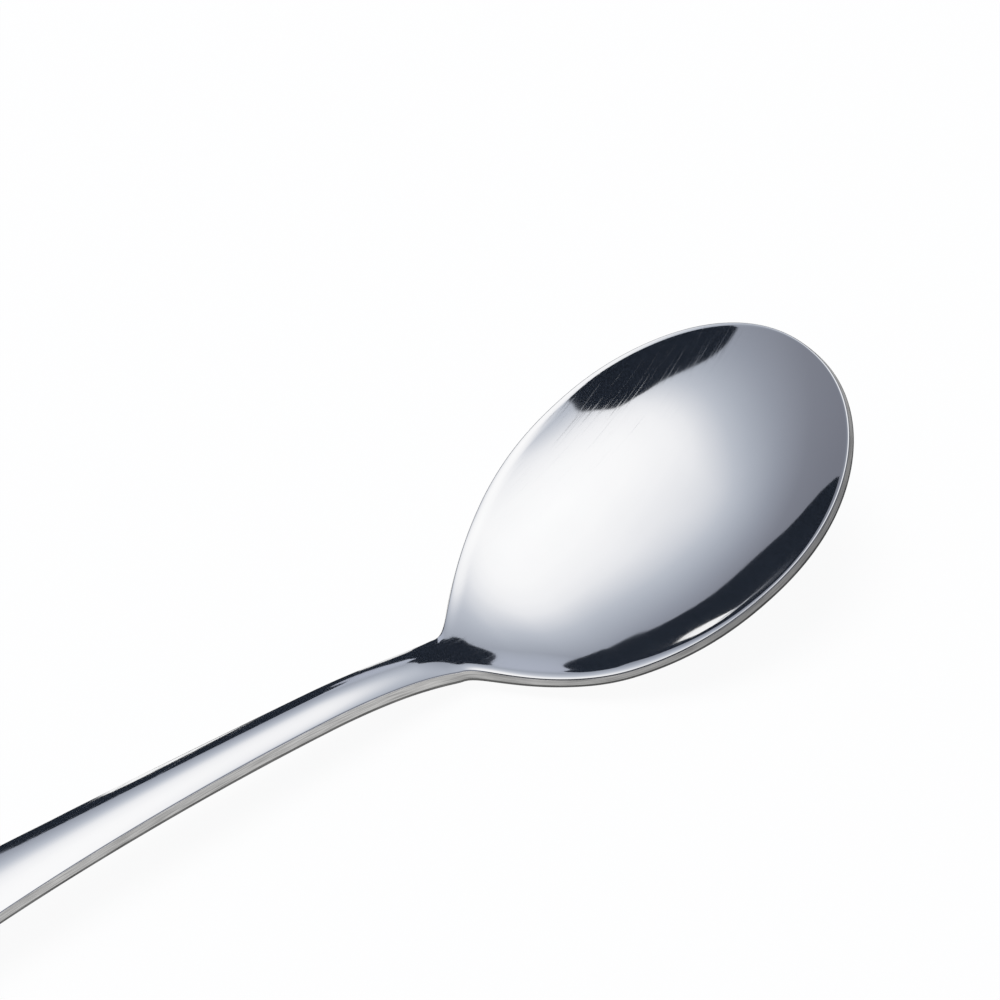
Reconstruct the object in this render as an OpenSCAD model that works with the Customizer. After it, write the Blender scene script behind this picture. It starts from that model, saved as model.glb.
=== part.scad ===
// Soup spoon of bright stainless steel, lying on a table.
// The real spoon is one stamping; its four regions are drawn as four solids that meet face to face.
// X runs along the spoon with the tip of the bowl at +X, Y runs across it, Z is up and the table is Z = 0.

/* [Overall] */
// Length from the tip of the bowl to the end of the handle
overall_length = 195; // [175:1:225]

/* [Bowl] */
// Width of the bowl across its widest line
bowl_width = 46; // [40:0.5:54]
// Distance from the widest line forward to the tip
bowl_front = 25.8; // [22:0.2:32]
// Distance from the widest line back to the point of the heel
bowl_back = 36.4; // [31:0.2:44]
// Depth of the hollow below the rim beside its deepest point
bowl_depth = 5.7; // [4:0.1:8]
// Distance from the widest line forward to the deepest point
deepest_front = 4; // [-4:0.5:8]
// Steepness of the walls: 2 is an even dish, more is a flatter floor with steeper walls
wall_power = 2.85; // [2:0.05:3.5]
// Thickness of the sheet at the rim
rim_thickness = 1.35; // [0.8:0.05:1.8]
// Lean of the rim's edge face: 1 is square to the sheet, 0 is upright
edge_lean = 0.7; // [0.3:0.05:1]
// Roundness of the front of the outline, 2 is an ellipse
front_power = 2.1; // [1.8:0.05:2.6]
// Fullness of the heel of the outline
heel_power = 2.25; // [1.9:0.05:2.8]

/* [Side profile] */
// Upward tilt of the rim through the middle of the bowl, in degrees
rim_tilt = 21.3; // [15:0.1:25]
// Upward tilt of the rim at the tip, in degrees
tip_tilt = 29; // [22:0.5:34]
// Rise of the edge just behind the heel, in degrees
neck_rise = 17.1; // [12:0.1:21]
// Rise of the edge where the stem straightens, in degrees
stem_rise = 4.3; // [3:0.1:6]
// Distance from the heel back to where the edge climbs most steeply
neck_back = 1.5; // [0.5:0.1:3]
// Distance from the heel back to the end of the hollow
hollow_back = 5.4; // [3.2:0.1:8]
// Distance from the heel back to where the stem straightens
shoulder_back = 20.4; // [16:0.2:26]
// Distance from the heel back to the top of the handle's arch
arch_back = 58.6; // [50:0.2:70]

/* [Stem] */
// Width of the stem at its narrowest
stem_width = 5.7; // [5:0.1:8]
// Distance from the heel back to where the stem is narrowest
waist_back = 13; // [9:0.5:18]
// Width of the stem where it meets the point of the heel
root_width = 7.1; // [5.5:0.1:9]
// Thickness of the stem at its edge
stem_thickness = 2.4; // [1.8:0.05:3]
// Height of the rounded top above the edge
crown_height = 0.7; // [0.3:0.05:1]
// Sharpness of the inside corners where the stem meets the bowl
fillet_power = 2.5; // [1.8:0.1:3.5]

/* [Handle] */
// Width of the handle where its rounded end begins
handle_width = 17.2; // [14:0.2:22]
// Thickness of the handle at its end
handle_thickness = 1.9; // [1.5:0.05:2.5]
// Length of the rounded end
end_length = 20; // [14:1:26]
// Roundness of the end's outline, 2 is an ellipse
end_power = 2.3; // [2:0.1:3]

/* [Edges] */
// Size of the broken corners along every edge
edge_break = 0.2; // [0.1:0.05:0.3]

/* [Hidden] */

steel = [0.76, 0.78, 0.80];
up = [0, 0, 1];

// Stations along the spoon, counted from the widest line of the bowl
tip_x = bowl_front;
deepest_x = deepest_front;
end_x = tip_x - overall_length;
heel_x = -bowl_back;
neck_x = heel_x - neck_back;
hollow_x = heel_x - hollow_back;
waist_x = heel_x - waist_back;
shoulder_x = heel_x - shoulder_back;
arch_x = heel_x - arch_back;
cap_x = end_x + end_length;

// The rim keeps one tilt between these two stations
rim_front_x = 0.3 * tip_x;
rim_back_x = 0.5 * heel_x;

// Stations in the heel where the stem's outline, upright edges, thickness and crown take over
blend_x = 0.6 * heel_x;
thicken_x = 0.65 * heel_x;
thick_x = hollow_x;
crown_x = 0.75 * heel_x;

// The hollow's floor curves alike on both sides of the deepest point, and runs out level behind the heel
back_curve = pow((deepest_x - hollow_x) / (tip_x - deepest_x), 2);
run_out_power = 2 * back_curve / (back_curve - 1);

bowl_half = bowl_width / 2;
stem_half = stem_width / 2;
root_half = root_width / 2;
handle_half = handle_width / 2;

// Powers by which the width grows from the waist to the handle's end and to the heel
handle_flare = 2;
root_flare = 3;

// How finely the solids are drawn
across_steps = 24;
front_steps = 22;
back_steps = 30;
neck_steps = 10;
shank_steps = 14;
grip_steps = 14;
cap_steps = 16;
// Sections crowd towards a rounded tip or end, up to this angle of its curve
last_angle = 89;

// Small steps for finding the sheet's direction, along and across
step_x = 0.2;
step_t = 0.01;

// Largest share of the half width that a broken corner may take
break_share = 0.3;

function ease(a, b, x) =
    let (k = min(1, max(0, (x - a) / (b - a))))
    k * k * (3 - 2 * k);
function mix(a, b, k) = a + (b - a) * k;
function unit(v) = v / norm(v);
function total(v, i = 0) = i < len(v) ? v[i] + total(v, i + 1) : 0;
function steps(a, b, n) = [for (i = [0:n]) mix(a, b, i / n)];

// Half width of the bowl alone: a superellipse in front, a fuller curve behind
function bowl_outline(x) =
    x > 0 ? bowl_half * pow(1 - pow(x / bowl_front, front_power), 1 / front_power)
    : x > heel_x ? bowl_half * (1 - pow(x / heel_x, heel_power))
    : 0;

// Half width of the stem and handle, flaring from the waist both to the heel and to a rounded end
function end_outline(x) =
    x > cap_x ? 1 : pow(1 - pow((cap_x - x) / end_length, end_power), 1 / end_power);
function flared(x) =
    x < waist_x ? mix(stem_half, handle_half, pow((x - waist_x) / (cap_x - waist_x), handle_flare))
    : mix(stem_half, root_half, pow(min(1, (x - waist_x) / (heel_x - waist_x)), root_flare));
function stem_outline(x) = flared(x) * end_outline(x) * ease(0, blend_x, x);

// Half width of the whole spoon, with the two outlines blended at the neck
function half_width(x) =
    pow(pow(bowl_outline(x), fillet_power) + pow(stem_outline(x), fillet_power), 1 / fillet_power);

// How far into the hollow a station is: 1 at the deepest point, 0 at the tip and behind the heel
function dish(x) =
    x > deepest_x ? 1 - pow((x - deepest_x) / (tip_x - deepest_x), 2)
    : x > hollow_x ?
        let (back = (deepest_x - x) / (deepest_x - hollow_x))
        1 - back_curve * pow(back, 2) + (back_curve - 1) * pow(back, run_out_power)
    : 0;

// Depth of the hollow below the edge; t runs from -1 to 1 across the width
function hollow(x, t = 0) =
    bowl_depth * (1 - pow(1 - dish(x) * (1 - t * t), wall_power / 2));

function crown(x) = crown_height * ease(crown_x, hollow_x, x) * end_outline(x);

function thickness(x) =
    mix(mix(rim_thickness, stem_thickness, ease(thicken_x, thick_x, x)),
        handle_thickness, ease(waist_x, cap_x, x));

// Slope of the edge at each station, read in between on straight lines
front_slopes = [
    [arch_x, 0],
    [shoulder_x, -tan(stem_rise)],
    [neck_x, -tan(neck_rise)],
    [rim_back_x, tan(rim_tilt)],
    [rim_front_x, tan(rim_tilt)],
    [tip_x, tan(tip_tilt)]
];

// Height of the edge below the tip: the area under the slopes between x and the tip
function edge_height(x, slopes) = -total([
    for (i = [1:len(slopes) - 1])
        let (low = max(x, slopes[i - 1][0]), high = slopes[i][0])
        low < high ? (lookup(low, slopes) + lookup(high, slopes)) / 2 * (high - low) : 0
]);

// The table touches the lowest point of the bowl, and the handle droops until its end touches it too
bowl_stations = concat(
    steps(hollow_x, 0, back_steps),
    [for (a = steps(0, last_angle, front_steps)) if (a > 0) tip_x * sin(a)]
);
table_z = min([for (x = bowl_stations) edge_height(x, front_slopes) - hollow(x) - thickness(x)]);
droop = edge_height(arch_x, front_slopes) - table_z - handle_thickness;
edge_slopes = concat([[end_x, 2 * droop / (arch_x - end_x)]], front_slopes);

function edge_z(x) = edge_height(x, edge_slopes);

// The sheet's upper face without the crown
function sheet(x, t) = [x, t * half_width(x), edge_z(x) - hollow(x, t)];

// Direction through the sheet: leaning towards square in the bowl, upright in the stem and handle
function face_normal(x, t) =
    let (
        dx = min(step_x, (tip_x - x) / 3),
        dt = step_t,
        along = sheet(x + dx, t) - sheet(x - dx, t),
        beside = sheet(x, t + dt) - sheet(x, t - dt)
    )
    unit(cross(along, beside));
function through(x, t) =
    x > hollow_x ? unit(mix(up, face_normal(x, t), edge_lean * ease(hollow_x, blend_x, x)))
    : up;

// One cross-section as an upper row and a lower row of points, both running from -Y to +Y
function upper_row(x) =
    let (inset = 1 - min(break_share, edge_break / half_width(x)))
    concat(
        [sheet(x, -1) - edge_break * through(x, -1)],
        [for (t = steps(-inset, inset, across_steps)) sheet(x, t) + crown(x) * (1 - t * t) * up],
        [sheet(x, 1) - edge_break * through(x, 1)]
    );
function lower_row(x) =
    let (inset = 1 - min(break_share, edge_break / half_width(x)), deep = thickness(x))
    concat(
        [sheet(x, -1) - (deep - edge_break) * through(x, -1)],
        [for (t = steps(-inset, inset, across_steps)) sheet(x, t) - deep * through(x, t)],
        [sheet(x, 1) - (deep - edge_break) * through(x, 1)]
    );

row = across_steps + 3;
ring = 2 * row;

function quad(a, b, c, d) = [[a, b, c], [a, c, d]];

// Joins the cross-sections at the stations, which run towards +X, into one closed solid
module loft(stations) {
    count = len(stations);
    points = [for (x = stations) each concat(upper_row(x), lower_row(x))];
    upper_faces = [
        for (i = [0:count - 2], j = [0:row - 2])
            let (here = i * ring + j, next = here + ring)
            each quad(here, here + 1, next + 1, next)
    ];
    lower_faces = [
        for (i = [0:count - 2], j = [row:ring - 2])
            let (here = i * ring + j, next = here + ring)
            each quad(here + 1, here, next, next + 1)
    ];
    side_faces = [
        for (i = [0:count - 2])
            let (here = i * ring, next = here + ring)
            each concat(
                quad(here + row, here, next, next + row),
                quad(here + row - 1, here + ring - 1, next + ring - 1, next + row - 1)
            )
    ];
    back_face = [
        for (j = [0:row - 2])
            each quad(j + 1, j, j + row, j + row + 1)
    ];
    front = (count - 1) * ring;
    front_face = [
        for (j = [0:row - 2])
            each quad(front + j, front + j + 1, front + j + row + 1, front + j + row)
    ];
    polyhedron(points, concat(upper_faces, lower_faces, side_faces, back_face, front_face), convexity = 6);
}

// The middle of the length and the table become the origin
tip_station = tip_x * sin(last_angle);
end_station = cap_x - end_length * sin(last_angle);
front_x = max([for (point = concat(upper_row(tip_station), lower_row(tip_station))) point[0]]);
shift = [-(front_x + end_station) / 2, 0, -table_z];

// Hollow oval bowl with its rim, heel and the hollow's run-out into the stem
module bowl() {
    color(steel) translate(shift) loft(bowl_stations);
}

// Narrow neck from the end of the hollow to where the stem straightens
module neck() {
    color(steel) translate(shift) loft(steps(shoulder_x, hollow_x, neck_steps));
}

// Slender stem up to the top of the arch
module shank() {
    color(steel) translate(shift) loft(steps(arch_x, shoulder_x, shank_steps));
}

// Flared handle that droops to the table and ends in a round
module grip() {
    cap = [for (a = steps(last_angle, 0, cap_steps)) cap_x - end_length * sin(a)];
    body = [for (x = steps(cap_x, arch_x, grip_steps)) if (x > cap_x) x];
    color(steel) translate(shift) loft(concat(cap, body));
}

bowl();
neck();
shank();
grip();
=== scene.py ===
"""Soup spoon of bright stainless steel on a pale studio floor.

The spoon is one smooth skin in place of its four solids: polished faces, satin edge and rounded corners.
All lengths are in metres. X runs along the spoon towards the tip, Y across it and Z up.
"""

import math

import bmesh
import bpy
import numpy as np
from mathutils import Matrix, Vector


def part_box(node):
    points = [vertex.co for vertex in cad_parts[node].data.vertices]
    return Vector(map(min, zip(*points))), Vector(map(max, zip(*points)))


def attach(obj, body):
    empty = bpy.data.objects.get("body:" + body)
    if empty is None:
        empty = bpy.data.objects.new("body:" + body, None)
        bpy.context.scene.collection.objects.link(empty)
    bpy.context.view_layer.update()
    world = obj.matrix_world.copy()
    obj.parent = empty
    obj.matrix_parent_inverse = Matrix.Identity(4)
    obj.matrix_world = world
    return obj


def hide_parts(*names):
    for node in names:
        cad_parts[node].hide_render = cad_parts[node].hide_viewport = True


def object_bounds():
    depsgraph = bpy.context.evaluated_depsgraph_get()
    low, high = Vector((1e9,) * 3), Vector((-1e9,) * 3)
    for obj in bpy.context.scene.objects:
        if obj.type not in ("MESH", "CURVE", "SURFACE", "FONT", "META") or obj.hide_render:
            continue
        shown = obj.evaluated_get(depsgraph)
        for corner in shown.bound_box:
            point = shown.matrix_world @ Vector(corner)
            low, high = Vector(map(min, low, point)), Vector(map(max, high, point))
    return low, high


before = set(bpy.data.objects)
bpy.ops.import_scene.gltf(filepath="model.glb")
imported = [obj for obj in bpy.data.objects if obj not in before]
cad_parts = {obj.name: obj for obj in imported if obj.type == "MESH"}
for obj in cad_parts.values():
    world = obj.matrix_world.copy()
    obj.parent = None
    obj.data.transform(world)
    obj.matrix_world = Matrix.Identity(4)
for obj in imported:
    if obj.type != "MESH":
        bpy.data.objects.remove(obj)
cad_low, cad_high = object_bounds()
scene = bpy.context.scene

# Boxes of the four solids
bowl_low, bowl_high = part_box("bowl")
neck_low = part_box("neck")[0]
shank_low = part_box("shank")[0]
grip_low, grip_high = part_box("grip")

# One millimetre, taken from the spoon's length
LENGTH_MM = 195.81
MM = (cad_high.x - cad_low.x) / LENGTH_MM

# Thickness of the sheet, and how far its edge leans from upright towards square with the sheet
RIM_THICKNESS = 1.35 * MM
STEM_THICKNESS = 2.4 * MM
HANDLE_THICKNESS = 1.9 * MM
EDGE_LEAN = 0.7

# Rounding of the edge's two corners: how far down or up the edge, and how far in from it
EDGE_ROUND = 0.2 * MM
LIP_ROUND = 0.15 * MM

# Lengths along the spoon; the foot of the leaning edge reaches past the lip at the tip
TIP_REACH = 0.81 * MM
BOWL_FRONT = 25.8 * MM
BOWL_BACK = 36.4 * MM
DEEPEST_FORWARD = 4 * MM
NECK_BACK = 1.5 * MM
WAIST_BACK = 13 * MM
CAP_LENGTH = 20 * MM

# Stations along the spoon, from the tip to the end of the handle
TIP_X = bowl_high.x - TIP_REACH
WIDEST_X = TIP_X - BOWL_FRONT
HEEL_X = WIDEST_X - BOWL_BACK
HOLLOW_X = bowl_low.x
DEEPEST_X = WIDEST_X + DEEPEST_FORWARD
NECK_X = HEEL_X - NECK_BACK
WAIST_X = HEEL_X - WAIST_BACK
SHOULDER_X = neck_low.x
ARCH_X = shank_low.x
END_X = grip_low.x
CAP_X = END_X + CAP_LENGTH

# Places between the widest station and the heel, and one towards the tip, as shares of the way
STEM_SHARE = 0.6
CROWN_SHARE = 0.75
THICKER_SHARE = 0.65
RIM_BACK_SHARE = 0.5
RIM_FRONT_SHARE = 0.3

# Half widths, depth of the hollow and height of the crown
BOWL_HALF = 23 * MM
BOWL_DEPTH = 5.7 * MM
STEM_HALF = 2.85 * MM
ROOT_HALF = 3.55 * MM
HANDLE_HALF = 8.6 * MM
CROWN_HEIGHT = 0.7 * MM

# Powers that shape the outline and the wall of the hollow
FRONT_POWER = 2.1
HEEL_POWER = 2.25
FILLET_POWER = 2.5
END_POWER = 2.3
HANDLE_POWER = 2
ROOT_POWER = 3
WALL_POWER = 2.85
FRONT_WALL_POWER = 2.64

# The wall is gentler in the front half of the bowl, and changes between these stations
WALL_BACK_X = WIDEST_X - 7 * MM
WALL_FRONT_X = WIDEST_X + 3 * MM

# The lip's level part and roll, as shares of the hollow, and the wider roll at the heel
LIP_FLAT = 0.008
LIP_ROLL = 0.016
HEEL_ROLL = 0.36
HEEL_CURL = 0.22
CURL_FULL_X = HEEL_X + 4 * MM
CURL_GONE_X = HEEL_X + 14 * MM

# The edges roll down where the stem meets the heel
NECK_ROLL = 0.2 * MM
NECK_ROLL_POWER = 4
ROLL_START_X = HEEL_X - 2 * MM
ROLL_FULL_X = HEEL_X + 4 * MM
ROLL_GONE_X = HEEL_X + 13 * MM

# The hollow's floor curves alike on both sides of its deepest point and runs out level behind
BACK_CURVE = ((DEEPEST_X - HOLLOW_X) / (TIP_X - DEEPEST_X)) ** 2
RUN_OUT_POWER = 2 * BACK_CURVE / (BACK_CURVE - 1)

# Slope of the edge at each station, in degrees, as seen from the side
RIM_TILT = 21.3
TIP_TILT = 29
NECK_RISE = 17.1
STEM_RISE = 4.3

# Steps in the table of the edge's height
EDGE_STEPS = 4000

# Steps along and across that give the direction of the sheet, and the last station where they fit
PROBE_ALONG = 0.2 * MM
PROBE_ACROSS = 0.01
PROBE_TIP_PARTS = 3
PROBE_LAST_X = TIP_X - 0.05 * MM

# Smallest width, length and depth to divide by, and the distance at which points become one
TINY_WIDTH = 1e-9
TINY_LENGTH = 1e-15
TINY_DEPTH = 1e-6
MERGE_DISTANCE = 1e-3 * MM


def ease(a, b, x):
    k = np.clip((x - a) / (b - a), 0, 1)
    return k * k * (3 - 2 * k)


def mix(a, b, k):
    return a + (b - a) * k


def powered(base, power):
    return np.maximum(base, 0) ** power


def share(a, b, x):
    """How far x is from a towards b, held between 0 and 1."""
    return np.clip((x - a) / (b - a), 0, 1)


def bowl_outline(x):
    front = powered(1 - share(WIDEST_X, TIP_X, x) ** FRONT_POWER, 1 / FRONT_POWER)
    back = 1 - share(WIDEST_X, HEEL_X, x) ** HEEL_POWER
    return BOWL_HALF * np.where(x > WIDEST_X, front, back)


def end_outline(x):
    return powered(1 - share(CAP_X, END_X, x) ** END_POWER, 1 / END_POWER)


def stem_outline(x):
    to_end = mix(STEM_HALF, HANDLE_HALF, ((x - WAIST_X) / (CAP_X - WAIST_X)) ** HANDLE_POWER)
    to_heel = mix(STEM_HALF, ROOT_HALF, share(WAIST_X, HEEL_X, x) ** ROOT_POWER)
    blend = ease(WIDEST_X, mix(WIDEST_X, HEEL_X, STEM_SHARE), x)
    return np.where(x < WAIST_X, to_end, to_heel) * end_outline(x) * blend


def half_width(x):
    both = bowl_outline(x) ** FILLET_POWER + stem_outline(x) ** FILLET_POWER
    return both ** (1 / FILLET_POWER)


def dish(x):
    """How far into the hollow a station is: 1 at the deepest point, 0 at the tip and behind the heel."""
    front = 1 - share(DEEPEST_X, TIP_X, x) ** 2
    back = share(DEEPEST_X, HOLLOW_X, x)
    run_out = 1 - BACK_CURVE * back ** 2 + (BACK_CURVE - 1) * back ** RUN_OUT_POWER
    return np.where(x > DEEPEST_X, front, run_out)


def hollow(x, across):
    return BOWL_DEPTH * (1 - powered(1 - dish(x) * (1 - across ** 2), WALL_POWER / 2))


def lipped(x, across):
    """The hollow as polished: its wall rolls over to a level lip, more gently towards the heel."""
    deep = np.where(x > DEEPEST_X, 1, np.clip(dish(x), TINY_DEPTH, 1))
    inside = np.maximum(dish(x) * (1 - across ** 2) - LIP_FLAT * deep, 0)
    curl = HEEL_CURL * (1 - ease(CURL_FULL_X, CURL_GONE_X, x))
    roll = (LIP_ROLL + HEEL_ROLL * (1 - deep) + curl) * deep
    rolled = np.where(inside < roll, inside ** 2 / (2 * roll), inside - roll / 2)
    power = mix(WALL_POWER, FRONT_WALL_POWER, ease(WALL_BACK_X, WALL_FRONT_X, x))
    return BOWL_DEPTH * (1 - powered(1 - rolled, power / 2))


def neck_roll(x):
    """How far the edges are rolled down where the stem meets the heel."""
    rising = ease(ROLL_START_X, ROLL_FULL_X, x)
    return NECK_ROLL * rising * (1 - ease(ROLL_FULL_X, ROLL_GONE_X, x))


def crown(x):
    start = mix(WIDEST_X, HEEL_X, CROWN_SHARE)
    return CROWN_HEIGHT * ease(start, HOLLOW_X, x) * end_outline(x)


def thickness(x):
    start = mix(WIDEST_X, HEEL_X, THICKER_SHARE)
    bowl = mix(RIM_THICKNESS, STEM_THICKNESS, ease(start, HOLLOW_X, x))
    return mix(bowl, HANDLE_THICKNESS, ease(WAIST_X, CAP_X, x))


def rise(degrees):
    return math.tan(math.radians(degrees))


def edge_table():
    """Height of the edge along the spoon: the running sum of its slope from the handle's end."""
    drop = grip_high.z - CROWN_HEIGHT - HANDLE_THICKNESS
    stations = [
        (END_X, 2 * drop / (ARCH_X - END_X)),
        (ARCH_X, 0),
        (SHOULDER_X, -rise(STEM_RISE)),
        (NECK_X, -rise(NECK_RISE)),
        (mix(WIDEST_X, HEEL_X, RIM_BACK_SHARE), rise(RIM_TILT)),
        (mix(WIDEST_X, TIP_X, RIM_FRONT_SHARE), rise(RIM_TILT)),
        (TIP_X, rise(TIP_TILT)),
    ]
    x = np.linspace(END_X, TIP_X, EDGE_STEPS)
    slope = np.interp(x, *np.array(stations).T)
    steps = (slope[1:] + slope[:-1]) / 2 * np.diff(x)
    z = np.concatenate([[0], np.cumsum(steps)])
    return x, z + HANDLE_THICKNESS


EDGE_X, EDGE_Z = edge_table()


def edge_z(x):
    return np.interp(x, EDGE_X, EDGE_Z)


def across_of(x, y):
    """How far across the spoon a point is: -1 and 1 at its edges."""
    return np.clip(y / np.maximum(half_width(x), TINY_WIDTH), -1, 1)


def sheet(x, across):
    """Points of the sheet's upper face without the crown and the rolled lip."""
    y = across * half_width(x)
    return np.stack([x, y, edge_z(x) - hollow(x, across)], -1)


def unit(v):
    return v / np.maximum(np.linalg.norm(v, axis=-1, keepdims=True), TINY_LENGTH)


def through(x, across):
    """Direction up through the sheet: leaning towards square in the bowl, upright in the stem."""
    dx = np.minimum(PROBE_ALONG, (TIP_X - x) / PROBE_TIP_PARTS)
    along = sheet(x + dx, across) - sheet(x - dx, across)
    beside = sheet(x, across + PROBE_ACROSS) - sheet(x, across - PROBE_ACROSS)
    normal = unit(np.cross(along, beside))
    lean = EDGE_LEAN * ease(HOLLOW_X, mix(WIDEST_X, HEEL_X, STEM_SHARE), x)[..., None]
    return unit(mix(np.array([0.0, 0.0, 1.0]), normal, lean))


# Numbers of points along and around the skin
FRONT_POINTS = 96
LENGTH_POINTS = 460
CAP_POINTS = 56
ACROSS_POINTS = 64
CORNER_POINTS = 8
EDGE_POINTS = 5

# Order of the spoon's materials, the last of them painted shade on the lower corner, and the turn of its
# rounded corners at which the polish stops
POLISHED, SATIN, PAINTED_SHADE_CORNER = range(3)
SATIN_FROM = math.radians(46)


def outline_stations():
    """The plan outline on +Y from the end of the handle to the tip, with its outward normals."""
    turn = np.radians(np.linspace(90, 0, CAP_POINTS, endpoint=False))
    cap = CAP_X - (CAP_X - END_X) * np.sin(turn)
    middle = np.linspace(CAP_X, WIDEST_X, LENGTH_POINTS, endpoint=False)
    turn = np.radians(np.linspace(0, 90, FRONT_POINTS))
    front = WIDEST_X + (TIP_X - WIDEST_X) * np.sin(turn)
    x = np.concatenate([cap, middle, front])
    w = half_width(x)
    w[0] = w[-1] = 0
    tangent = np.stack([np.gradient(x), np.gradient(w)], -1)
    normal = unit(np.stack([-tangent[:, 1], tangent[:, 0]], -1))
    normal[0] = -1, 0
    normal[-1] = 1, 0
    return x, w, normal


def upper(x, y):
    across = across_of(x, y)
    domed = crown(x) * (1 - across ** 2) - neck_roll(x) * across ** NECK_ROLL_POWER
    return np.stack([x, y, edge_z(x) - lipped(x, across) + domed], -1)


def lower(x, y):
    across = across_of(x, y)
    base = np.stack([x, y, edge_z(x) - hollow(x, across)], -1)
    return base - thickness(x)[..., None] * through(np.minimum(x, PROBE_LAST_X), across)


def skin():
    """Rings of points around the spoon, one at each station, and the material of each strip between them."""
    x, w, normal = outline_stations()
    inset_x = x - LIP_ROUND * normal[:, 0]
    inset_w = np.maximum(w - LIP_ROUND * normal[:, 1], 0)
    up = through(np.minimum(x, PROBE_LAST_X), np.ones_like(x))
    corner = np.stack([x, w, edge_z(x) - neck_roll(x)], -1)
    foot = np.stack([x, w, edge_z(x)], -1) - thickness(x)[:, None] * up
    top_inset = upper(inset_x, inset_w)
    low_inset = lower(inset_x, inset_w)
    turn = np.radians(np.linspace(0, 90, CORNER_POINTS + 1))
    profile = []
    strips = []
    for a in turn:
        inward = (top_inset - corner) * (1 - math.sin(a))
        profile.append(corner + inward - EDGE_ROUND * up * (1 - math.cos(a)))
        strips.append(SATIN if a > SATIN_FROM else POLISHED)
    for k in np.linspace(0, 1, EDGE_POINTS + 1)[1:]:
        profile.append(mix(corner - EDGE_ROUND * up, foot + EDGE_ROUND * up, k))
        strips.append(SATIN)
    # The lowest part of the edge takes the same painted shade as the corner below it: a dark painted
    # reflection of the shade under the spoon
    strips[-2:] = [PAINTED_SHADE_CORNER, PAINTED_SHADE_CORNER]
    # The lower rounded corner is painted dark as shade until it turns under to the polish
    for a in turn[1:]:
        inward = (low_inset - foot) * (1 - math.cos(a))
        profile.append(foot + EDGE_ROUND * up * (1 - math.sin(a)) + inward)
        strips.append(PAINTED_SHADE_CORNER if a < SATIN_FROM else POLISHED)
    edge = np.stack(profile, 1)
    mirror = edge * np.array([1, -1, 1])
    steps = np.linspace(-1, 1, ACROSS_POINTS + 1)[1:-1]
    y = inset_w[:, None] * steps
    grid_x = np.repeat(inset_x[:, None], len(steps), 1)
    rings = np.concatenate(
        [upper(grid_x, y), edge, lower(grid_x, y)[:, ::-1], mirror[:, ::-1]], 1
    )
    plain = [POLISHED] * len(steps)
    return rings, plain + strips + plain + strips[-2::-1] + [POLISHED]


def make_spoon(materials):
    rings, strips = skin()
    count, around = rings.shape[:2]
    i, j = np.meshgrid(np.arange(count - 1), np.arange(around), indexing="ij")
    k = (j + 1) % around
    faces = np.stack([i * around + j, i * around + k, (i + 1) * around + k, (i + 1) * around + j], -1)
    mesh = bpy.data.meshes.new("spoon")
    mesh.from_pydata(rings.reshape(-1, 3), [], faces.reshape(-1, 4)[:, ::-1].tolist())
    for material in materials:
        mesh.materials.append(material)
    # Lengths along the spoon and around it, for the streaks in the satin
    step_along = np.linalg.norm(np.diff(rings, axis=0), axis=2).max(1)
    step_around = np.linalg.norm(np.diff(rings, axis=1), axis=2).max(0)
    along = np.concatenate([[0], np.cumsum(step_along)])
    beside = np.concatenate([[0], np.cumsum(step_around), [0]])
    corners = [
        np.stack([along[i + di], beside[j + dj]], -1) for di, dj in ((0, 0), (0, 1), (1, 1), (1, 0))
    ]
    layout = mesh.uv_layers.new(name="lengths")
    layout.data.foreach_set("uv", np.stack(corners, 2).reshape(-1, 4, 2)[:, ::-1].ravel())
    mesh.polygons.foreach_set("material_index", np.array(strips, np.int32)[j].ravel())
    mesh.polygons.foreach_set("use_smooth", np.ones(len(mesh.polygons), bool))
    work = bmesh.new()
    work.from_mesh(mesh)
    bmesh.ops.remove_doubles(work, verts=work.verts, dist=MERGE_DISTANCE)
    bmesh.ops.recalc_face_normals(work, faces=work.faces)
    work.to_mesh(mesh)
    work.free()
    spoon = bpy.data.objects.new("spoon", mesh)
    scene.collection.objects.link(spoon)
    return spoon


def node(tree, kind, settings=None, **inputs):
    """A new shader node with its settings, and its inputs set to values or linked to other nodes' outputs.

    Inputs are given by name, or as i0, i1 and i2 by their place.
    """
    made = tree.nodes.new("ShaderNode" + kind)
    for name, value in (settings or {}).items():
        setattr(made, name, value)
    for name, value in inputs.items():
        if name[1:].isdigit():
            socket = made.inputs[int(name[1:])]
        else:
            socket = made.inputs[name.replace("_", " ")]
        if isinstance(value, bpy.types.NodeSocket):
            tree.links.new(value, socket)
        else:
            socket.default_value = value
    return made


def math_node(tree, operation, first, second):
    return node(tree, "Math", {"operation": operation}, i0=first, i1=second).outputs[0]


def vector_node(tree, operation, output, **inputs):
    return node(tree, "VectorMath", {"operation": operation}, **inputs).outputs[output]


def ramp(tree, factor, stops):
    made = node(tree, "ValToRGB", i0=factor)
    elements = made.color_ramp.elements
    halfway = 0.5
    while len(elements) < len(stops):
        elements.new(halfway)
    for element, (position, colour) in zip(elements, stops):
        element.position = position
        element.color = (*colour, 1)
    return made.outputs["Color"]


def noise(tree, place, scale, detail, turn=0.0, stretch=(1, 1, 1)):
    """Noise in the given coordinates, turned about the upright and stretched into streaks."""
    turned = node(tree, "Mapping", Vector=place, Rotation=(0, 0, turn))
    drawn = node(tree, "Mapping", Vector=turned.outputs[0], Scale=stretch)
    return node(tree, "TexNoise", Vector=drawn.outputs[0], Scale=scale, Detail=detail).outputs["Fac"]


def new_material(name):
    material = bpy.data.materials.new(name)
    material.use_nodes = True
    tree = material.node_tree
    return material, tree, tree.nodes["Principled BSDF"]


def set_surface(tree, shader):
    tree.links.new(shader.outputs[0], tree.nodes["Material Output"].inputs["Surface"])


def grey(value):
    return (value, value, value)


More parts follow.
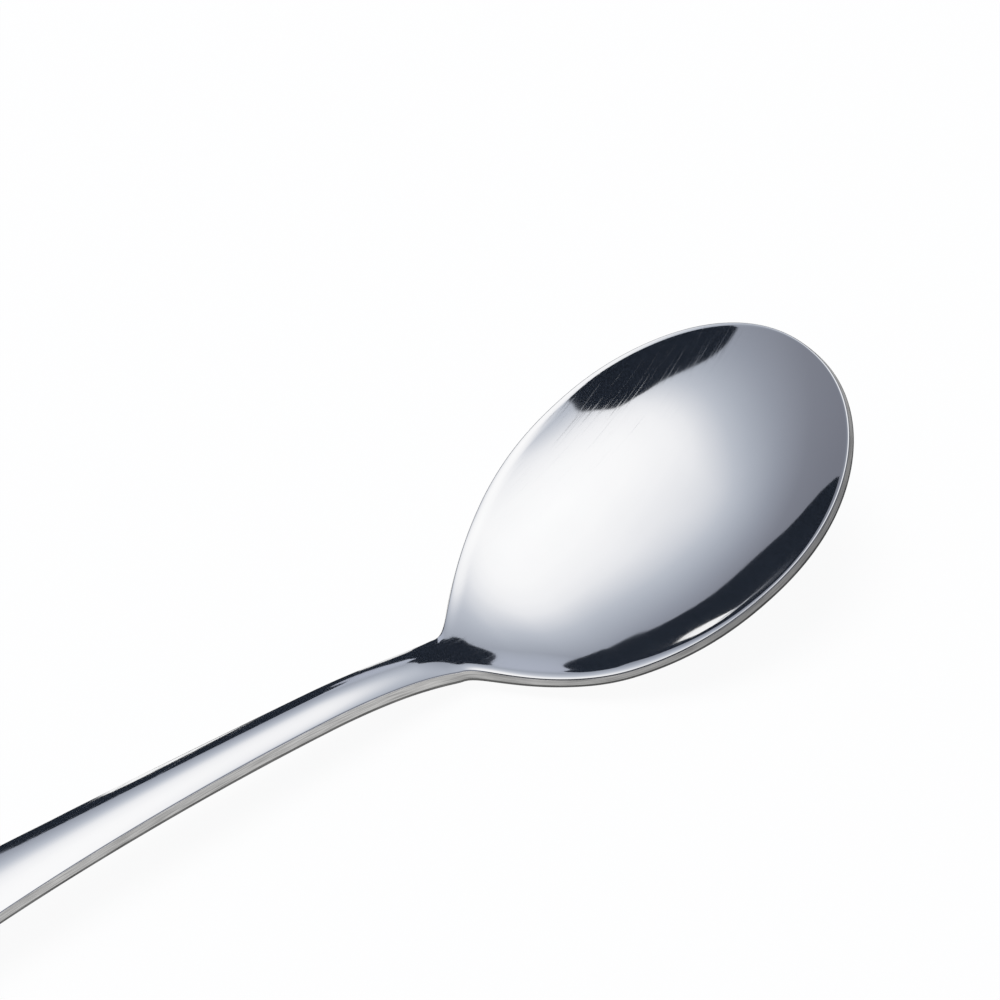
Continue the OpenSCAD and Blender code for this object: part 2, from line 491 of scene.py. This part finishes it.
# Polished face: its colour in and between faint smears, and the roughness of the polish
STEEL = (0.785, 0.785, 0.79)
SMEARED_STEEL = (0.77, 0.772, 0.778)
SMEAR_SCALE = 90
SMEAR_STOPS = ((0.3, SMEARED_STEEL), (0.7, STEEL))
POLISH_STOPS = ((0.35, grey(0.045)), (0.75, grey(0.075)))

# Scratches: their direction, their fineness along X, Y and Z, and the roughness that they add
SCRATCH_TURN = math.radians(-9)
FINE_STRETCH = (150, 5200, 150)
FINE_STOPS = ((0.54, grey(0)), (0.74, grey(0.12)))
DEEP_STRETCH = (75, 3400, 75)
DEEP_STOPS = ((0.70, grey(0)), (0.78, grey(0.16)))

# Lines left by the polishing wheel, which run with the scratches
WHEEL_STRETCH = (80, 4200, 80)
WHEEL_HEIGHT = 4e-7

# One side of the bowl is less worn than the other
LESS_WORN_Y = -10 * MM
WORN_Y = 14 * MM
LESS_WEAR = 0.15

# The sheet's slight waviness
WAVE_SCALE = 170
WAVE_HEIGHT = 5e-6

# Cut edge: streaks along it, grain, and drifts in its roughness
STREAK_STRETCH = (190, 4600, 1)
STREAK_FROM = 0.34
STREAK_TO = 0.62
GRAIN_SCALE = 5200
GRAIN_HEIGHT = 1.5e-5
GRAIN_STRENGTH = 0.5
DRIFT_SCALE = 240
DRIFT_FROM = 0.3
DRIFT_TO = 0.7
DRIFT_ROUGHNESS = 0.16

# The edge of the bowl is duller than that of the stem
BRIGHT_EDGE_X = HEEL_X - 4 * MM
DULL_EDGE_X = HEEL_X + 32 * MM
DULL_EDGE = 0.6

# Darkest and lightest colour and roughness of the edge and of its lower corner, whose dark colour is painted
# shade, standing in for the reflection of the shade under the spoon
SATIN_DARK = (0.33, 0.328, 0.324)
SATIN_LIGHT = (0.58, 0.575, 0.565)
SATIN_ROUGHNESS = 0.3
PAINTED_CORNER_DARK = (0.09, 0.09, 0.09)
PAINTED_CORNER_LIGHT = (0.18, 0.178, 0.175)
CORNER_ROUGHNESS = 0.4


def polished_steel():
    material, tree, shader = new_material("polished_steel")
    place = node(tree, "TexCoord").outputs["Object"]
    shader.inputs["Metallic"].default_value = 1
    smear = noise(tree, place, SMEAR_SCALE, detail=3)
    tint = ramp(tree, smear, SMEAR_STOPS)
    tree.links.new(tint, shader.inputs["Base Color"])
    # Many fine short scratches, some of them deeper
    fine = noise(tree, place, 1, detail=1, turn=SCRATCH_TURN, stretch=FINE_STRETCH)
    deep = noise(tree, place, 1, detail=1, turn=SCRATCH_TURN, stretch=DEEP_STRETCH)
    both = math_node(tree, "ADD", ramp(tree, fine, FINE_STOPS), ramp(tree, deep, DEEP_STOPS))
    side = node(tree, "SeparateXYZ", Vector=place).outputs["Y"]
    wear = node(
        tree, "MapRange", Value=side,
        From_Min=LESS_WORN_Y, From_Max=WORN_Y, To_Min=LESS_WEAR, To_Max=1.0,
    )
    scored = math_node(tree, "MULTIPLY", both, wear.outputs[0])
    rough = math_node(tree, "ADD", ramp(tree, smear, POLISH_STOPS), scored)
    tree.links.new(rough, shader.inputs["Roughness"])
    # The waviness, then the wheel's lines on it
    wave = noise(tree, place, WAVE_SCALE, detail=1)
    wheel = noise(tree, place, 1, detail=2, turn=SCRATCH_TURN, stretch=WHEEL_STRETCH)
    waved = node(tree, "Bump", Strength=1.0, Distance=WAVE_HEIGHT, Height=wave)
    lined = node(tree, "Bump", Strength=1.0, Distance=WHEEL_HEIGHT, Height=wheel, Normal=waved.outputs[0])
    tree.links.new(lined.outputs[0], shader.inputs["Normal"])
    return material


def edge_metal(name, darkest, lightest, roughness):
    """Metal of the cut edge, or of its lower corner painted dark as shade, with grain and with streaks that
    run along it.
    """
    material, tree, shader = new_material(name)
    coordinates = node(tree, "TexCoord").outputs
    place = coordinates["Object"]
    shader.inputs["Metallic"].default_value = 1
    streaks = noise(tree, coordinates["UV"], 1, detail=3, stretch=STREAK_STRETCH)
    grain = noise(tree, place, GRAIN_SCALE, detail=4)
    drift = noise(tree, place, DRIFT_SCALE, detail=3)
    tint = ramp(tree, streaks, ((STREAK_FROM, darkest), (STREAK_TO, lightest)))
    station = node(tree, "SeparateXYZ", Vector=place).outputs["X"]
    dull = node(
        tree, "MapRange", Value=station,
        From_Min=BRIGHT_EDGE_X, From_Max=DULL_EDGE_X, To_Min=1.0, To_Max=DULL_EDGE,
    )
    dulled = vector_node(tree, "SCALE", "Vector", i0=tint, Scale=dull.outputs[0])
    tree.links.new(dulled, shader.inputs["Base Color"])
    rougher = roughness + DRIFT_ROUGHNESS
    rough = ramp(tree, drift, ((DRIFT_FROM, grey(roughness)), (DRIFT_TO, grey(rougher))))
    tree.links.new(rough, shader.inputs["Roughness"])
    pitted = node(tree, "Bump", Strength=GRAIN_STRENGTH, Distance=GRAIN_HEIGHT, Height=grain)
    tree.links.new(pitted.outputs[0], shader.inputs["Normal"])
    return material


spoon = make_spoon([
    polished_steel(),
    edge_metal("satin_edge", SATIN_DARK, SATIN_LIGHT, SATIN_ROUGHNESS),
    # The lower corner's material is painted shade: its dark colour stands in for the reflection of the
    # shaded floor under the spoon
    edge_metal("painted_shade_corner", PAINTED_CORNER_DARK, PAINTED_CORNER_LIGHT, CORNER_ROUGHNESS),
])
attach(spoon, "root")
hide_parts("bowl", "neck", "shank", "grip")

# Camera: its angles, and its focal length as a share of the picture's width
ELEVATION = math.radians(46.36)
AZIMUTH = math.radians(33.62)
ROLL = math.radians(-2.98)
FOCAL_SHARE = 3.8389
SENSOR_WIDTH = 36
NEAREST = 0.01
FARTHEST = 50

# The point that it looks at, behind and above the rim at its widest, and the distance to it
AIM_BACK = 26.39 * MM
AIM_UP = 15.5 * MM
AIM = Vector((WIDEST_X - AIM_BACK, 0, edge_z(WIDEST_X) + AIM_UP))
DISTANCE = 500 * MM


def make_camera():
    data = bpy.data.cameras.new("camera")
    camera = bpy.data.objects.new("camera", data)
    scene.collection.objects.link(camera)
    forward = Vector((
        math.sin(AZIMUTH) * math.cos(ELEVATION),
        math.cos(AZIMUTH) * math.cos(ELEVATION),
        -math.sin(ELEVATION),
    ))
    level = Vector((math.cos(AZIMUTH), -math.sin(AZIMUTH), 0))
    plumb = level.cross(forward)
    right = math.cos(ROLL) * level + math.sin(ROLL) * plumb
    top = math.cos(ROLL) * plumb - math.sin(ROLL) * level
    turn = Matrix((right, top, -forward)).transposed()
    camera.matrix_world = Matrix.Translation(AIM - forward * DISTANCE) @ turn.to_4x4()
    data.sensor_width = SENSOR_WIDTH
    data.lens = SENSOR_WIDTH * FOCAL_SHARE
    data.clip_start = NEAREST
    data.clip_end = FARTHEST
    scene.camera = camera


make_camera()

# Studio: a white floor, and a tent that glows white overhead and grey at its foot.
# Three black flags and two white strips give the bowl its dark reflections and the lights between them.
MIDDLE_BACK = 5 * MM
MIDDLE_DOWN = 4 * MM
BOWL_MIDDLE = Vector((WIDEST_X - MIDDLE_BACK, 0, edge_z(WIDEST_X) - MIDDLE_DOWN))
WHITE = (1, 1, 1, 1)
MATT = 0.9

# Floor: most of what shows is its even white, and the rest is lit and takes the shadow
FLOOR_HALF = 2.8
FLOOR_COLOUR = (0.92, 0.92, 0.92, 1)
FLOOR_EVEN = 0.92

# Tent: its glow fades outward from an oval overhead.
# Each stop is a distance from the oval's centre and a colour.
TENT_RADIUS = 3.0
TENT_ROWS = 24
TENT_SIDES = 64
OVAL_CENTRE = (0.028, 0.166, 0)
OVAL_TURN = math.radians(97)
OVAL_SIZE = (0.898, 1.114, 1)
TENT_STOPS = (
    (0.00, (1.25, 1.25, 1.25)),
    (0.25, (1.20, 1.20, 1.205)),
    (0.38, (1.12, 1.123, 1.14)),
    (0.45, (1.02, 1.03, 1.06)),
    (0.517, (0.818, 0.843, 0.899)),
    (0.583, (0.630, 0.668, 0.743)),
    (0.65, (0.512, 0.550, 0.628)),
    (0.75, (0.37, 0.40, 0.47)),
    (0.85, (0.256, 0.272, 0.325)),
    (0.92, (0.225, 0.237, 0.285)),
)

# Low down behind the bowl the tent is lighter, by the cosine of the angle to this direction
LIGHTER_DIRECTION = (35, 0)
LIGHTER_FROM = 0.86
LIGHTER_TO = 0.96
LIGHTER_GLOW = 1.7

# Flags and strips: outlines as azimuth and elevation seen from the bowl, in degrees
CLOTH_COLOUR = (0.016, 0.025, 0.041, 1)
FLAG_DISTANCE = 2.0
LEFT_FACING = (-118, 45)
LEFT_OUTLINE = [
    (-153, 20), (-153, 62.5), (-150, 65), (-146, 67.8), (-140, 69.6), (-130, 70.3), (-120, 70.2),
    (-112, 69.5), (-107, 68), (-103, 65), (-99, 62), (-95, 57), (-90, 52), (-86, 48), (-82, 43),
    (-80, 39), (-79, 35), (-79.5, 31), (-81, 20),
]
BACK_FACING = (25, 12)
BACK_OUTLINE = [
    (-17, -6), (-16.3, 3), (-15.7, 9), (-14.6, 12.4), (-12.3, 14.4), (-9.6, 16.4), (-6.7, 18.3),
    (-4.6, 20.3), (-2.5, 21.9), (0, 22.8), (4.6, 23.7), (7.1, 24.3), (8.8, 25), (10, 25.9),
    (10.8, 27), (11.1, 28.2), (11.3, 29.8), (12.6, 30.6), (15, 30.3), (17.5, 29.6), (21, 28.4),
    (24.3, 26.9), (27.6, 24.4), (29.5, 21.8), (29.7, 19.8), (29, 18), (27.8, 16.9), (26, 15.5),
    (25.5, 13), (27, 11), (30, 11), (33, 13.3), (35.5, 15.6), (38, 17.2), (41, 18.2), (43.5, 18.8),
    (45.3, 19.4), (44.7, 20.4), (43.8, 21.2), (43.5, 22.6), (43.8, 24.8), (45.3, 26.4), (48, 27.5),
    (52, 28.2), (54, 29.4), (55.3, 30.4), (56.6, 29.9), (58, 28.4), (59.2, 26), (60, 23), (60.2, 20),
    (61, 10), (63, -6),
]
LOW_DISTANCE = 0.12
LOW_FACING = (-4, 0)
LOW_OUTLINE = [(-20, -6), (-20, 5), (-6, 5), (9, 5), (9, -6), (-6, -6)]
STRIP_DISTANCE = 0.95 * FLAG_DISTANCE
STRIP_GLOW = 1.15
FRONT_STRIP_FACING = (11, 8)
FRONT_STRIP_OUTLINE = [(8.7, 1.5), (9.9, 6), (11.3, 9.5), (12.2, 12), (13.4, 11.5), (13.2, 1.5)]
SIDE_STRIP_FACING = (16, 8)
SIDE_STRIP_OUTLINE = [
    (14.6, -3), (14.6, 14), (15.6, 17), (17, 15), (18.2, 11), (19.3, 4), (19.5, -3),
]

# Rounds of cutting the corners off a card, and how much of each side a cut takes
CORNER_CUTS = 3
CUT_SHARE = 0.25

# Key lamp: its direction from the bowl in degrees, its distance, size and power
KEY_DIRECTION = (1, 78)
KEY_DISTANCE = 1.5
KEY_SIZE = 0.9
KEY_POWER = 10


def towards(azimuth, elevation):
    """Unit direction from compass azimuth, 0 along +Y and 90 along +X, and elevation, in degrees."""
    turn = math.radians(azimuth)
    lift = math.radians(elevation)
    return Vector((math.sin(turn) * math.cos(lift), math.cos(turn) * math.cos(lift), math.sin(lift)))


def add_stage(name, points, faces, material):
    mesh = bpy.data.meshes.new(name)
    mesh.from_pydata(points, [], faces)
    mesh.materials.append(material)
    made = bpy.data.objects.new(name, mesh)
    scene.collection.objects.link(made)
    return made


def seen_rays(tree):
    """1 for the rays that show a surface itself: from the camera, a mirror or a glass."""
    path = node(tree, "LightPath").outputs
    two = math_node(tree, "MAXIMUM", path["Is Camera Ray"], path["Is Glossy Ray"])
    return math_node(tree, "MAXIMUM", two, path["Is Transmission Ray"])


def make_floor():
    material, tree, shader = new_material("floor")
    shader.inputs["Base Color"].default_value = FLOOR_COLOUR
    shader.inputs["Roughness"].default_value = MATT
    shader.inputs["Specular IOR Level"].default_value = 0
    glow = node(tree, "Emission", Color=WHITE, Strength=1.0)
    even = math_node(tree, "MULTIPLY", seen_rays(tree), FLOOR_EVEN)
    both = node(tree, "MixShader", i0=even, i1=shader.outputs[0], i2=glow.outputs[0])
    set_surface(tree, both)
    f = FLOOR_HALF
    add_stage("floor", [(-f, -f, 0), (f, -f, 0), (f, f, 0), (-f, f, 0)], [(0, 1, 2, 3)], material)


def tent_glow():
    material, tree, _ = new_material("tent")
    place = node(tree, "TexCoord").outputs["Object"]
    facing = vector_node(tree, "NORMALIZE", "Vector", i0=place)
    oval = node(
        tree, "Mapping", {"vector_type": "TEXTURE"}, Vector=facing,
        Location=OVAL_CENTRE, Rotation=(0, 0, OVAL_TURN), Scale=OVAL_SIZE,
    ).outputs[0]
    level = vector_node(tree, "MULTIPLY", "Vector", i0=oval, i1=(1, 1, 0))
    outward = vector_node(tree, "LENGTH", "Value", i0=level)
    colour = ramp(tree, outward, TENT_STOPS)
    behind = vector_node(tree, "DOT_PRODUCT", "Value", i0=facing, i1=towards(*LIGHTER_DIRECTION))
    lift = node(
        tree, "MapRange", Value=behind,
        From_Min=LIGHTER_FROM, From_Max=LIGHTER_TO, To_Min=1.0, To_Max=LIGHTER_GLOW,
    )
    set_surface(tree, node(tree, "Emission", Color=colour, Strength=lift.outputs[0]))
    material.cycles.emission_sampling = "NONE"
    return material


def make_tent():
    """A dome around the bowl, which shows only in reflections and as soft light."""
    rows, around = TENT_ROWS, TENT_SIDES
    points = []
    for r in range(rows):
        for a in range(around):
            points.append(TENT_RADIUS * towards(360 * a / around, 90 * r / rows))
    points.append(Vector((0, 0, TENT_RADIUS)))
    faces = []
    for r in range(rows - 1):
        for a in range(around):
            b = (a + 1) % around
            faces.append((r * around + a, r * around + b, (r + 1) * around + b, (r + 1) * around + a))
    last = (rows - 1) * around
    for a in range(around):
        faces.append((last + a, last + (a + 1) % around, len(points) - 1))
    tent = add_stage("tent", points, faces, tent_glow())
    tent.location.x = BOWL_MIDDLE.x
    tent.visible_camera = False
    tent.visible_shadow = False


def rounded(corners):
    """The same outline with its corners cut off several times over."""
    near, far = 1 - CUT_SHARE, CUT_SHARE
    for _ in range(CORNER_CUTS):
        smooth = []
        for (a, b), (c, d) in zip(corners, corners[1:] + corners[:1]):
            smooth.append((near * a + far * c, near * b + far * d))
            smooth.append((far * a + near * c, far * b + near * d))
        corners = smooth
    return corners


def make_card(name, facing, distance, corners, material):
    """A flat card whose outline lies in these directions as seen from the bowl."""
    square = towards(*facing)
    points = []
    for corner in rounded(corners):
        ray = towards(*corner)
        points.append(BOWL_MIDDLE + ray * (distance / ray.dot(square)))
    card = add_stage(name, points, [tuple(range(len(points)))], material)
    card.visible_camera = False
    card.visible_diffuse = False
    card.visible_shadow = False


def black_cloth():
    material, _, shader = new_material("black_cloth")
    shader.inputs["Base Color"].default_value = CLOTH_COLOUR
    shader.inputs["Roughness"].default_value = MATT
    return material


def white_glow():
    material, tree, _ = new_material("strip_glow")
    set_surface(tree, node(tree, "Emission", Color=WHITE, Strength=STRIP_GLOW))
    return material


def make_lamp():
    data = bpy.data.lights.new("key", "AREA")
    data.shape = "DISK"
    data.size = KEY_SIZE
    data.energy = KEY_POWER
    lamp = bpy.data.objects.new("key", data)
    lamp.visible_glossy = False
    scene.collection.objects.link(lamp)
    direction = towards(*KEY_DIRECTION)
    lamp.location = BOWL_MIDDLE + direction * KEY_DISTANCE
    lamp.rotation_euler = direction.to_track_quat("Z", "Y").to_euler()


def make_world():
    world = bpy.data.worlds.new("studio")
    scene.world = world
    world.use_nodes = True
    background = world.node_tree.nodes["Background"]
    background.inputs["Color"].default_value = WHITE
    background.inputs["Strength"].default_value = 1


make_floor()
make_tent()
cloth = black_cloth()
make_card("flag_left", LEFT_FACING, FLAG_DISTANCE, LEFT_OUTLINE, cloth)
make_card("flag_back", BACK_FACING, FLAG_DISTANCE, BACK_OUTLINE, cloth)
make_card("flag_low", LOW_FACING, LOW_DISTANCE, LOW_OUTLINE, cloth)
white = white_glow()
make_card("strip_front", FRONT_STRIP_FACING, STRIP_DISTANCE, FRONT_STRIP_OUTLINE, white)
make_card("strip_side", SIDE_STRIP_FACING, STRIP_DISTANCE, SIDE_STRIP_OUTLINE, white)
make_lamp()
make_world()

scene.view_settings.view_transform = "Standard"
